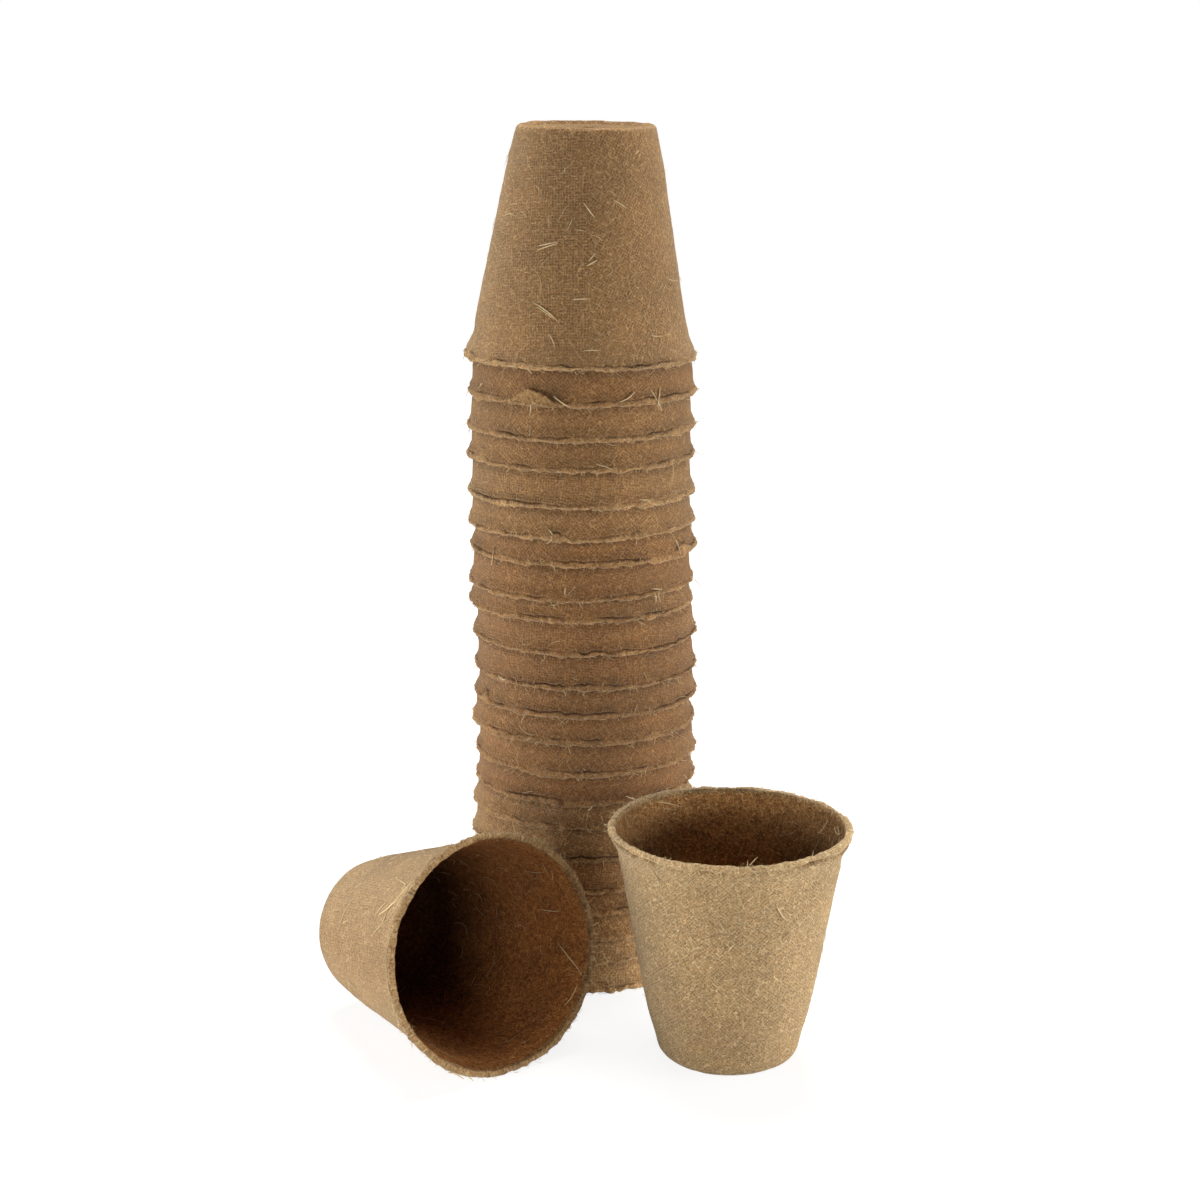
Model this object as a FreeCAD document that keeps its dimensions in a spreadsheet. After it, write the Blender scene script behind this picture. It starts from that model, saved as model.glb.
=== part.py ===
import FreeCAD, Part
import math
import os
import Sketcher

# A set of round peat pots as it is sold: a stack of pots nested upside down,
# with one pot of the same set lying in front of it and one standing upright.
# Every pot is one moulded shell with a turned out lip, a small foot ring under
# its floor and one drain hole. The outside of every pot comes from the same
# mould. The wall is thicker on some pots than on others, and that thickness
# sets how far each pot slides over the one beneath it.
#
# The frame: +Z is up, the floor is at zero height, and the origin is the centre
# of the circle on which the stack stands. The set is seen from the -Y side.
# Lengths are in millimetres and angles in degrees.

SIZES = {
    # the outside of a pot, standing on its foot
    "pot_height": 80.0,
    "mouth_radius": 40.2,
    "lip_lean": 0.3,
    "lip_drop": 2.0,
    "lip_stand": 0.9,
    "neck_drop": 2.6,
    "neck_depth": 0.2,
    "turn_drop": 3.5,
    "flare": 2.1,
    "collar_drop": 8.0,
    "draft": 9.8,
    "knee_height": 16.0,
    "foot_draft": 3.5,
    "foot_round": 5.0,
    # the foot ring, the floor and the drain hole
    "foot_ring": 2.0,
    "foot_recess": 1.2,
    "floor_wall": 1.5,
    "floor_round": 3.0,
    "drain_radius": 2.5,
    # the wall and the lip
    "wall": 1.54,
    "lip_wall": 2.2,
    "lip_edge_round": 0.8,
    "turn_round": 1.2,
    "collar_round": 6.0,
    # how the pots of the stack sit on each other, and how the top one leans
    "seat_gap": 0.3,
    "top_seat_gap": 1.0,
    "top_lean": 1.2,
    "top_lean_heading": -35.0,
    "top_pivot_share": 0.45,
    # where the loose pots are
    "upright_x": 49.6,
    "upright_y": -83.4,
    "lying_mouth_x": -27.4,
    "lying_mouth_y": -96.4,
    "lying_heading": -54.0,
    # how much of the foot rounding and the wall a pot has
    "plain_round_share": 1.0,
    "top_round_share": 0.3,
    "plain_wall_share": 1.0,
}

# The radii down the outside, each from the one above it, so that the whole pot
# grows with its mouth.
RADII = {
    "shoulder_radius": "mouth_radius - lip_lean",
    "neck_radius": "shoulder_radius - lip_stand",
    "turn_radius": "neck_radius + neck_depth",
    "collar_radius": "turn_radius - flare",
    "knee_radius": "collar_radius - draft",
    "foot_radius": "knee_radius - foot_draft",
}

# How much of the wall each pot of the stack has, from the floor up.
STACK_WALL_SHARES = (
    1.00, 1.08, 0.79, 0.86, 0.73, 1.15, 1.14, 0.84, 0.95, 1.08, 0.91,
    0.94, 1.19, 1.09, 0.66, 1.17, 0.82, 1.01, 1.26, 0.95, 1.12, 0.76,
)

# The slope of the long wall, as radius gained for each unit of height, and how
# much wider the wall measures straight across than square to its face.
SLOPE = "(sizes.draft / (sizes.pot_height - sizes.collar_drop - sizes.knee_height))"
ACROSS = f"sqrt(1 + {SLOPE} * {SLOPE})"

# Two places closer than this are the same place.
SAME_PLACE = 0.001

UP = FreeCAD.Vector(0, 0, 1)
RIGHT = FreeCAD.Vector(1, 0, 0)


def make_sheet(doc):
    """The sheet of sizes: a name in column A and its number in column B."""
    sheet = doc.addObject("Spreadsheet::Sheet", "sizes")
    rows = dict(SIZES)
    for number, share in enumerate(STACK_WALL_SHARES, start=1):
        rows[stack_wall_share(number)] = share
    for name, formula in RADII.items():
        rows[name] = f"={formula}"
    for row, (name, value) in enumerate(rows.items(), start=1):
        sheet.set(f"A{row}", name)
        sheet.set(f"B{row}", str(value))
        sheet.setAlias(f"B{row}", name)
    doc.recompute()
    return sheet


def stack_name(number):
    return f"stack_pot_{number:02d}"


def stack_wall_share(number):
    return f"pot_{number:02d}_wall_share"


def pot_outline(wall_share, round_share):
    """Half a pot's section: each corner's name with its radius and its height.

    It starts under the floor at the drain hole, goes out over the foot, up the
    outside to the mouth and back down the inside.
    """
    across = f"sizes.wall * sizes.{wall_share} * {ACROSS}"
    ring_outer = f"sizes.foot_radius - sizes.foot_round * sizes.{round_share}"
    ring_inner = f"{ring_outer} - sizes.foot_ring"
    floor_top = "sizes.foot_recess + sizes.floor_wall"
    lower_slope = "(sizes.knee_radius - sizes.foot_radius) / sizes.knee_height"
    shoulder_height = "sizes.pot_height - sizes.lip_drop"
    neck_height = "sizes.pot_height - sizes.neck_drop"
    turn_height = "sizes.pot_height - sizes.turn_drop"
    collar_height = "sizes.pot_height - sizes.collar_drop"
    return {
        "drain_under": ("sizes.drain_radius", "sizes.foot_recess"),
        "recess": (f"{ring_inner} - sizes.foot_recess", "sizes.foot_recess"),
        "ring": (ring_inner, None),
        "foot": ("sizes.foot_radius", None),
        "knee": ("sizes.knee_radius", "sizes.knee_height"),
        "collar": ("sizes.collar_radius", collar_height),
        "turn": ("sizes.turn_radius", turn_height),
        "neck": ("sizes.neck_radius", neck_height),
        "shoulder": ("sizes.shoulder_radius", shoulder_height),
        "mouth": ("sizes.mouth_radius", "sizes.pot_height"),
        "mouth_inside": ("sizes.mouth_radius - sizes.lip_wall", "sizes.pot_height"),
        "turn_inside": ("sizes.turn_radius - sizes.lip_wall", turn_height),
        "collar_inside": (f"sizes.collar_radius - {across}", collar_height),
        "knee_inside": (f"sizes.knee_radius - {across}", "sizes.knee_height"),
        "floor_corner": (f"sizes.foot_radius - {across} + {lower_slope} * ({floor_top})", floor_top),
        "drain_top": ("sizes.drain_radius", floor_top),
    }


def draw_outline(body, outline):
    """A closed sketch through the outline's corners, each tied to the sheet."""
    sketch = body.newObject("Sketcher::SketchObject", f"{body.Name}_outline")
    plane = next(item for item in body.Origin.OriginFeatures if item.Role == "XZ_Plane")
    sketch.AttachmentSupport = [(plane, "")]
    sketch.MapMode = "FlatFace"
    count = len(outline)
    # The corners start anywhere on a circle. The constraints then place them.
    reach = SIZES["mouth_radius"]
    start = []
    for index in range(count):
        turn = 2 * math.pi * index / count
        start.append(FreeCAD.Vector(reach * math.cos(turn), reach * math.sin(turn), 0))
    for index in range(count):
        sketch.addGeometry(Part.LineSegment(start[index], start[(index + 1) % count]), False)
    for index in range(count):
        sketch.addConstraint(Sketcher.Constraint("Coincident", index, 2, (index + 1) % count, 1))
    for index, (radius, height) in enumerate(outline.values()):
        tie_corner(sketch, "DistanceX", index, radius)
        if height is None:
            sketch.addConstraint(Sketcher.Constraint("PointOnObject", index, 1, -1))
        else:
            tie_corner(sketch, "DistanceY", index, height)
    return sketch


def tie_corner(sketch, direction, index, expression):
    number = sketch.addConstraint(Sketcher.Constraint(direction, -1, 1, index, 1, SIZES["pot_height"]))
    sketch.setExpression(f"Constraints[{number}]", expression)


def corner(sketch, outline, name):
    """The radius and height at which the sketch holds a corner."""
    point = sketch.getPoint(list(outline).index(name), 1)
    return point.x, point.y


def ring_edges(shape, places):
    """The names of the round edges that lie at these radii and heights."""
    names = []
    for number, edge in enumerate(shape.Edges, start=1):
        if edge.Curve.TypeId != "Part::GeomCircle":
            continue
        for radius, height in places:
            off = math.hypot(edge.Curve.Radius - radius, edge.Curve.Center.z - height)
            if off < SAME_PLACE:
                names.append(f"Edge{number}")
    return names


def round_rings(body, base, name, places, radius):
    """Round off the ring edges of the base at the given places."""
    edges = ring_edges(base.Shape, places)
    if len(edges) != len(places):
        raise RuntimeError(f"{body.Name} {name}: {len(edges)} of {len(places)} edges found")
    fillet = body.newObject("PartDesign::Fillet", f"{body.Name}_{name}")
    fillet.Base = (base, edges)
    fillet.setExpression("Radius", radius)
    body.Document.recompute()
    return fillet


def make_pot(doc, name, wall_share, round_share):
    """One pot, standing on its foot with its axis through its own origin."""
    body = doc.addObject("PartDesign::Body", name)
    body.Label = name
    outline = pot_outline(wall_share, round_share)
    sketch = draw_outline(body, outline)
    shell = body.newObject("PartDesign::Revolution", f"{name}_shell")
    shell.Profile = sketch
    shell.ReferenceAxis = (sketch, ["V_Axis"])
    shell.Angle = 360
    doc.recompute()

    def at(*corners):
        return [corner(sketch, outline, item) for item in corners]

    step = round_rings(body, shell, "foot_rounding", at("foot"),
                       f"sizes.foot_round * sizes.{round_share}")
    step = round_rings(body, step, "floor_rounding", at("floor_corner"), "sizes.floor_round")
    step = round_rings(body, step, "collar_rounding", at("collar"), "sizes.collar_round")
    step = round_rings(body, step, "turn_rounding", at("turn"), "sizes.turn_round")
    round_rings(body, step, "lip_edges", at("mouth", "mouth_inside"), "sizes.lip_edge_round")
    return body


def nest_on(pot, beneath, wall_share, seat_gap):
    """Hang the pot upside down over the one beneath, its wall's gap clear of it.

    A cone moved along its axis by a step opens a gap of the step times the sine
    of the half angle, so the step is the wall and the gap divided by that sine.
    """
    step = f"(sizes.wall * sizes.{wall_share} + sizes.{seat_gap}) * {ACROSS} / {SLOPE}"
    pot.setExpression("Placement.Base.z", f"{beneath.Name}.Placement.Base.z + {step} * 1 mm")


def make_stack(doc, sheet):
    """The nested pots from the floor up, each upside down over the last."""
    upside_down = FreeCAD.Rotation(RIGHT, 180)
    top = len(STACK_WALL_SHARES)
    pots = []
    for number in range(1, top + 1):
        round_share = "top_round_share" if number == top else "plain_round_share"
        pot = make_pot(doc, stack_name(number), stack_wall_share(number), round_share)
        pot.Placement = FreeCAD.Placement(FreeCAD.Vector(), upside_down)
        if number == 1:
            pot.setExpression("Placement.Base.z", "sizes.pot_height")
        elif number < top:
            nest_on(pot, pots[-1], stack_wall_share(number), "seat_gap")
        else:
            nest_on(pot, pots[-1], stack_wall_share(number), "top_seat_gap")
            lean_top(pot, sheet, upside_down)
        pots.append(pot)
    return pots


def lean_top(pot, sheet, upside_down):
    """Lean the top pot within its looser seat, about a point inside the nest."""
    heading = math.radians(sheet.get("top_lean_heading"))
    hinge_line = FreeCAD.Vector(-math.sin(heading), math.cos(heading), 0)
    lean = FreeCAD.Rotation(hinge_line, sheet.get("top_lean"))
    pot.Placement = FreeCAD.Placement(FreeCAD.Vector(), lean.multiply(upside_down))
    swing = ("sizes.pot_height * (1 - sizes.top_pivot_share)"
             " * sin(sizes.top_lean * 1 deg) * 1 mm")
    pot.setExpression("Placement.Base.x", f"{swing} * cos(sizes.top_lean_heading * 1 deg)")
    pot.setExpression("Placement.Base.y", f"{swing} * sin(sizes.top_lean_heading * 1 deg)")


def make_upright(doc):
    """The loose pot that stands on its foot."""
    pot = make_pot(doc, "upright_pot", "plain_wall_share", "plain_round_share")
    pot.setExpression("Placement.Base.x", "sizes.upright_x")
    pot.setExpression("Placement.Base.y", "sizes.upright_y")
    return pot


def resting_tilt(lip_round, mouth, support, support_round):
    """The tilt at which a pot on its side touches down at its lip and a support.

    Both are rings of a round section, each given by its section's centre.
    """
    rise = mouth[1] - support[1]
    gain = mouth[0] - support[0]
    return math.atan2(gain, rise) + math.asin((lip_round - support_round) / math.hypot(rise, gain))


def make_lying(doc, sheet):
    """The loose pot that lies on its lip and on the knee of its wall."""
    pot = make_pot(doc, "lying_pot", "plain_wall_share", "plain_round_share")
    lip_round = sheet.get("lip_edge_round")
    height = sheet.get("pot_height")
    lip = (sheet.get("mouth_radius") - lip_round, height - lip_round)
    knee = (sheet.get("knee_radius"), sheet.get("knee_height"))
    foot_round = sheet.get("foot_round") * sheet.get("plain_round_share")
    spread = (knee[0] - sheet.get("foot_radius")) / knee[1]
    foot_in = foot_round * (math.hypot(1, spread) - spread)
    foot = (sheet.get("foot_radius") - foot_in, foot_round)
    tilt = min(resting_tilt(lip_round, lip, knee, 0),
               resting_tilt(lip_round, lip, foot, foot_round))
    heading = math.radians(sheet.get("lying_heading"))
    out = FreeCAD.Vector(math.cos(heading), math.sin(heading), 0)
    axis = out * math.cos(tilt) + UP * math.sin(tilt)
    base_height = lip[0] * math.cos(tilt) - lip[1] * math.sin(tilt) + lip_round
    mouth = FreeCAD.Vector(sheet.get("lying_mouth_x"), sheet.get("lying_mouth_y"), 0)
    base = mouth - out * (height * math.cos(tilt)) + UP * base_height
    pot.Placement = FreeCAD.Placement(base, FreeCAD.Rotation(UP, axis))
    return pot


def check_document(doc, pots):
    """Stop if any object failed or any pot isn't one sound solid."""
    for item in doc.Objects:
        if "Invalid" in item.State or "Error" in item.State:
            raise RuntimeError(f"{item.Name}: {item.State}")
    for pot in pots:
        if pot.Shape.isNull() or not pot.Shape.isValid() or len(pot.Shape.Solids) != 1:
            raise RuntimeError(f"{pot.Name} isn't one valid solid")


def main():
    doc = FreeCAD.newDocument("peat_pots")
    sheet = make_sheet(doc)
    pots = make_stack(doc, sheet)
    pots.append(make_upright(doc))
    pots.append(make_lying(doc, sheet))
    doc.recompute()
    check_document(doc, pots)
    os.makedirs("parts", exist_ok=True)
    for pot in pots:
        pot.Shape.exportStep(f"parts/{pot.Label}.step")
        box = pot.Shape.BoundBox
        print(f"{pot.Label}: volume {pot.Shape.Volume:.0f}, heights {box.ZMin:.2f} to {box.ZMax:.2f}")


main()
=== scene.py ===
import math

import bpy
import numpy as np
from mathutils import Matrix, Vector


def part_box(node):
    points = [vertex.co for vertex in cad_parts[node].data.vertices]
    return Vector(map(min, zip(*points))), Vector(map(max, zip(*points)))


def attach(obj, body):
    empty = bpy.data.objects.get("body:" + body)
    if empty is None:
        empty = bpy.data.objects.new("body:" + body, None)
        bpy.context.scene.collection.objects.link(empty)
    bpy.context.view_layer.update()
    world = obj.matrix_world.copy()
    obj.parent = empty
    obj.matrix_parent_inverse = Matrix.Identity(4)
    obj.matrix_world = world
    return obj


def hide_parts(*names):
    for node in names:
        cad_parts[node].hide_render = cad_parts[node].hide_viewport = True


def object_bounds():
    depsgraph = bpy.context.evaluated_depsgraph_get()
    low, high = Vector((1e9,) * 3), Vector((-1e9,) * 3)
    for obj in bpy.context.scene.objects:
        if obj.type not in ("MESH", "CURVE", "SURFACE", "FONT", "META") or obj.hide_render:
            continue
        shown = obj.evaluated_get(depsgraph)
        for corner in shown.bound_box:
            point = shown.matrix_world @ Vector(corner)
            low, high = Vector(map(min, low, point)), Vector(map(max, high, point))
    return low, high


bl_info = {
    "name": "Peat Pots",
    "version": (1, 0, 0),
    "blender": (4, 5, 0),
    "location": "View3D > Sidebar > Peat Pots",
    "description": "Dresses a stack of nested peat pots and two loose ones",
    "category": "Add Mesh",
}

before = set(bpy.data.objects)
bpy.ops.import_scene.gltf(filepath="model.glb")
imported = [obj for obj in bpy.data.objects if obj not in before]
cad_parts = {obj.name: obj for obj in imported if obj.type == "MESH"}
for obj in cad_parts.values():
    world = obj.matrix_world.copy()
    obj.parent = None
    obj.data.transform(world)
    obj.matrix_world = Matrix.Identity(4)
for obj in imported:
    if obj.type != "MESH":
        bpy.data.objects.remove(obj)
CAD_BOX = [list(corner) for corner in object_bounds()]

MM = 0.001
ZONES = "zones"
WEAVE = "weave"
RICH = "rich"
ROW = "row"

# The parts of a pot's section, as the attribute ROW stores them.
UNDER, OUTSIDE, INSIDE, FLOOR = 0, 1, 2, 3

# The plain pot's knee, how much its long wall widens over its height, and how much
# wider a wall measures straight across than square to its face, in millimetres.
KNEE_RADIUS, KNEE_HEIGHT = 27.3, 16.0
DRAFT, LONG_WALL = 9.8, 56.0
ACROSS = 1.0152

# Spacings along a section where it is hidden, on the wall, on the inside and at the
# lip, then the rounding of its small edges and the share of its wide roundings.
FINE_STEPS = (1.4, 1.0, 1.5, 0.2, 0.3, 1.0)
COARSE_STEPS = (8, 1.8, 9, 0.25, 0, 0)

# Points of a mould closer than this are merged, and points stay this far within the
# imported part's box, in metres.
MERGE = 1e-6
CLEAR = 1e-5

# The noise's table of random values, and the primes that pick from it.
TABLE = 4096
PRIMES = (73856093, 19349663, 83492791)

# Strands at random places outside and inside: the spread of their lengths, their curl
# in degrees, how far their two ends can lift off, and their least and most thickness.
OUTER_STRANDS = (1.5, 60, (0, 0, 0.3), (0, 0.2, 0.8), (0.45, 1.0))
INNER_STRANDS = (1.6, 70, (0, 0.3, 0.6), (0, 0.5, 1.2), (0.30, 0.7))

# The thickness that strands on the inside take the wall to have, in millimetres.
INNER_WALL = 2.0


def length_property(name, description, default):
    return bpy.props.FloatProperty(name=name, description=description, default=default, unit="LENGTH")


def power_property(name, description, default):
    return bpy.props.FloatProperty(name=name, description=description, default=default, unit="POWER")


def colour_property(name, description, default):
    return bpy.props.FloatVectorProperty(
        name=name, description=description, default=default, subtype="COLOR", min=0, max=1)


class PotSizes(bpy.types.PropertyGroup):
    """The sizes of one moulded pot."""

    height: length_property("Height", "From the foot to the mouth", 0.080)
    mouth_radius: length_property("Mouth radius", "Outside of the lip", 0.0402)
    foot_radius: length_property("Foot radius", "Outside of the wall at the foot", 0.0238)
    wall: length_property("Wall", "Thickness of a plain pot's wall", 0.00154)
    thread_pitch: length_property("Mesh pitch", "Spacing of the mould screen's imprint", 0.00098)
    strand_radius: length_property("Strand radius", "Half the thickness of a loose strand", 0.00014)


class PotColours(bpy.types.PropertyGroup):
    """The colours of the peat and wood fibre mixture, and of the painted shade in the split under the lip.
    """

    pulp: colour_property("Pulp", "The plain surface", (0.55, 0.362, 0.172))
    # also the painted shade in the imprint's hollows and among the lumps
    pit: colour_property("Pits", "The hollows of the mesh imprint", (0.25, 0.135, 0.058))
    shive: colour_property("Shives", "Pale bits of wood fibre pressed into the wall", (0.70, 0.51, 0.30))
    strand: colour_property("Strands", "The loose pale strands", (0.84, 0.66, 0.39))
    # the painted shade inside the split
    crease: colour_property("Crease", "The split under the lip", (0.055, 0.025, 0.010))


class StageSettings(bpy.types.PropertyGroup):
    """The camera's lens and pitch, and the power of the lamps."""

    lens: bpy.props.FloatProperty(
        name="Lens", description="Focal length on a 36 mm sensor, in millimetres", default=66.0)
    pitch: bpy.props.FloatProperty(
        name="Pitch", description="How far the camera looks down", default=math.radians(13.82),
        subtype="ANGLE")
    side_light: power_property("Side lights", "Power of each side lamp, in watts", 10.1)
    top_light: power_property("Top light", "Power of the lamp overhead, in watts", 16.0)
    front_light: power_property("Front light", "Power of the small lamp low in front, in watts", 0.45)


def value_noise(points, size, seed):
    """Smooth random heights between -1 and 1 at each point, in lumps of the given size."""
    table = np.random.default_rng(seed).uniform(-1, 1, TABLE)
    grid = points / size
    cell = np.floor(grid).astype(np.int64)
    part = grid - cell
    part = part * part * (3 - 2 * part)
    total = np.zeros(len(points))
    for corner in range(8):
        step = np.array([(corner >> axis) & 1 for axis in range(3)])
        weight = np.prod(np.where(step, part, 1 - part), axis=1)
        at = cell + step
        key = (at[:, 0] * PRIMES[0]) ^ (at[:, 1] * PRIMES[1]) ^ (at[:, 2] * PRIMES[2])
        total += weight * table[key % TABLE]
    return total


def wander(heading, size, seed):
    """Noise round a rim of 40 mm radius, in lumps of the given length in millimetres."""
    ring = np.stack([40 * np.cos(heading), 40 * np.sin(heading), np.zeros_like(heading)], axis=1)
    return value_noise(ring, size, seed)


def smooth(value, low, high):
    """0 up to low, 1 from high on, and an even rise between them."""
    part = np.clip((value - low) / (high - low), 0, 1)
    return part * part * (3 - 2 * part)


def hump(heading, centre, width):
    """1 at a heading and nothing a few widths away from it, in degrees."""
    off = (np.degrees(heading) - centre + 180) % 360 - 180
    return bell(off, width)


def bell(value, width):
    """1 at zero and nothing a few widths away from it."""
    return np.exp(-(value / width) ** 2)


def rounded(corners, coarse):
    """The points of a closed outline in millimetres, its corners rounded off.

    Each corner is (radius, height, rounding, spacing to the next corner, part).
    """
    count = len(corners)
    rounds = []
    for index, (radius, height, rounding, _, _) in enumerate(corners):
        here = np.array([radius, height])
        before = np.array(corners[index - 1][:2]) - here
        after = np.array(corners[(index + 1) % count][:2]) - here
        before_unit = before / np.linalg.norm(before)
        after_unit = after / np.linalg.norm(after)
        half = math.acos(np.clip(before_unit @ after_unit, -1, 1)) / 2
        if rounding == 0 or half > math.radians(89.5):
            rounds.append([here])
            continue
        reach = rounding / math.tan(half)
        middle = before_unit + after_unit
        middle /= np.linalg.norm(middle)
        centre = here + middle * (rounding / math.sin(half))
        start, end = here + before_unit * reach, here + after_unit * reach
        turn = math.pi - 2 * half
        steps = max(2, int(round(turn * rounding / coarse)) + 1)
        from_centre, to_centre = start - centre, end - centre
        arc = []
        for step in range(steps + 1):
            share = step / steps
            blend = (math.sin((1 - share) * turn) * from_centre
                     + math.sin(share * turn) * to_centre) / math.sin(turn)
            arc.append(centre + blend)
        rounds.append(arc)
    points, parts = [], []
    for index, arc in enumerate(rounds):
        for point in arc:
            points.append(point)
            parts.append(corners[index][4])
        start = arc[-1]
        end = rounds[(index + 1) % count][0]
        spacing = corners[index][3]
        steps = max(1, int(round(np.linalg.norm(end - start) / spacing)))
        for step in range(1, steps):
            points.append(start + (end - start) * step / steps)
            parts.append(corners[(index + 1) % count][4])
    return np.array(points), parts


def pot_section(sizes, foot_round, fine):
    """The outline of half a pot, from the drain hole out, up, over and down."""
    height = sizes.height / MM
    mouth = sizes.mouth_radius / MM
    foot = sizes.foot_radius / MM
    across = sizes.wall / MM * ACROSS
    ring = foot - foot_round
    knee = foot + 3.5
    collar = mouth - 3.1
    visible_height, collar_height = 60.0, height - 8
    visible = knee + (collar - knee) * (visible_height - KNEE_HEIGHT) / (collar_height - KNEE_HEIGHT)
    hidden, wall, inner, lip, small, wide = FINE_STEPS if fine else COARSE_STEPS
    corners = [
        (2.5, 1.2, small, 4.0 * small + 2, UNDER),
        (ring - 3.2, 1.2, small, 1.0, UNDER),
        (ring - 2.0, 0.0, small, 1.5, UNDER),
        (foot, 0.0, foot_round, hidden, UNDER),
        (knee, KNEE_HEIGHT, 30.0 * wide, hidden, OUTSIDE),
        (visible, visible_height, 0, wall, OUTSIDE),
        (collar, collar_height, 6.0 * wide, 0.9, OUTSIDE),
        (mouth - 1.0, height - 3.5, 4.0 * wide, lip, OUTSIDE),
        (mouth - 0.3, height - 1.0, 0, lip, OUTSIDE),
        (mouth - 0.3, height, 0.8, 0.5, OUTSIDE),
        (mouth - 2.2, height, 0.8, 0.9, INSIDE),
        (mouth - 3.2, height - 3.5, 0, inner, INSIDE),
        (collar - across, collar_height, 8.0 * wide, inner, INSIDE),
        (knee - across, KNEE_HEIGHT, 20.0 * wide, inner, INSIDE),
        (foot + 0.59 - across, 2.7, 3.0, inner, INSIDE),
        (2.5, 2.7, small, 1.0, FLOOR),
    ]
    return rounded(corners, 0.6 if fine else 1.8)


def deselect_all():
    for item in bpy.context.selected_objects:
        item.select_set(False)


def pick(item):
    deselect_all()
    item.select_set(True)
    bpy.context.view_layer.objects.active = item


def edit(item):
    pick(item)
    bpy.ops.object.mode_set(mode="EDIT")
    bpy.ops.mesh.select_all(action="SELECT")


def leave_edit():
    bpy.ops.object.mode_set(mode="OBJECT")


def read_points(mesh):
    flat = np.empty(len(mesh.vertices) * 3, np.float32)
    mesh.vertices.foreach_get("co", flat)
    return flat.reshape(-1, 3).astype(float)


def write_points(mesh, points):
    mesh.vertices.foreach_set("co", points.astype(np.float32).ravel())
    mesh.update()


def read_parts(mesh):
    """The part of the section that each point belongs to."""
    part = np.empty(len(mesh.vertices), np.float32)
    mesh.attributes[ROW].data.foreach_get("value", part)
    return np.round(part)


def mesh_object(name, points, faces, material_name):
    """A linked object from points in millimetres."""
    mesh = bpy.data.meshes.new(name)
    mesh.from_pydata([tuple(point * MM) for point in points], [], faces)
    mesh.materials.append(material(material_name))
    item = bpy.data.objects.new(name, mesh)
    bpy.context.scene.collection.objects.link(item)
    return item


def displace(item, group, name, size, depth, strength):
    """Push a vertex group in and out by a cloud texture, as an applied modifier."""
    texture = bpy.data.textures.get(name)
    if texture is None:
        texture = bpy.data.textures.new(name, "CLOUDS")
        texture.noise_scale = size
        texture.noise_depth = depth
        texture.noise_basis = "ORIGINAL_PERLIN"
    modifier = item.modifiers.new(name, "DISPLACE")
    modifier.texture = texture
    modifier.texture_coords = "LOCAL"
    modifier.direction = "NORMAL"
    modifier.strength = strength
    modifier.mid_level = 0.5
    modifier.vertex_group = group
    pick(item)
    bpy.ops.object.modifier_apply(modifier=modifier.name)


def model_mould(sizes, name, segments, foot_round, fine):
    """The shape that the pots share: a drawn section spun once round the axis."""
    points, parts = pot_section(sizes, foot_round, fine)
    deselect_all()
    bpy.ops.mesh.primitive_circle_add(vertices=len(points), radius=sizes.mouth_radius)
    mould = bpy.context.object
    mould.name = name
    mesh = mould.data
    section = np.zeros((len(points), 3))
    section[:, 0] = points[:, 0] * MM
    section[:, 2] = points[:, 1] * MM
    write_points(mesh, section)
    row = mesh.attributes.new(ROW, "FLOAT", "POINT")
    row.data.foreach_set("value", np.array(parts, np.float32))
    turn = mould.modifiers.new("turn", "SCREW")
    turn.axis = "Z"
    turn.angle = 2 * math.pi
    turn.steps = turn.render_steps = segments
    turn.use_merge_vertices = True
    turn.merge_threshold = MERGE
    bpy.ops.object.modifier_apply(modifier=turn.name)
    edit(mould)
    bpy.ops.mesh.remove_doubles(threshold=MERGE)
    bpy.ops.mesh.normals_make_consistent(inside=False)
    leave_edit()
    mark_groups(mould)
    return mould


def mark_groups(mould):
    """Vertex groups for the outside skin, the matted inside and the lip."""
    points = read_points(mould.data) / MM
    part = read_parts(mould.data)
    top = points[:, 2].max()
    inner = (part == INSIDE) | (part == FLOOR)
    weights = {
        "skin": np.where(inner, 0, 1.0),
        "matted": np.where(inner, 1.0 - 0.7 * smooth(points[:, 2], top - 6, top), 0),
        "rag": smooth(points[:, 2], top - 3.0, top - 0.6) * np.where(inner, 0.5, 1.0),
    }
    for name, weight in weights.items():
        group = mould.vertex_groups.new(name=name)
        level = np.round(weight * 20).astype(int)
        for value in np.unique(level):
            if value > 0:
                group.add(np.flatnonzero(level == value).tolist(), value / 20, "REPLACE")


def copy_pot(mould, name):
    pick(mould)
    bpy.ops.object.duplicate(linked=False)
    pot = bpy.context.object
    pot.name = name
    pot.data.name = name
    return pot


def headings(points, flipped):
    """The way each point faces, 0 towards the camera side and 90 degrees to its right."""
    return np.arctan2(points[:, 0], points[:, 1] if flipped else -points[:, 1])


def bend(points, look, top):
    """Lean a pot, make its mouth oval, pinch its foot and shift its lip, all in millimetres."""
    x, y, z = points[:, 0].copy(), points[:, 1].copy(), points[:, 2].copy()
    wide, deep = look["oval"]
    mouthward = smooth(z, 0, top)
    pinch = 1 - look["pinch"] * (1 - smooth(z, 0, 26))
    x *= (1 + (wide - 1) * mouthward) * pinch
    y *= (1 + (deep - 1) * mouthward) * pinch
    z += look["tip"] * np.clip(0.5 + y / 48, 0, 1) * (1 - smooth(z, 0, 30))
    x += look["lean"] * (top - z) / top + look["lip_shift"] * smooth(z, top - 14, top - 8)
    return np.stack([x, y, z], axis=1)


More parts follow.
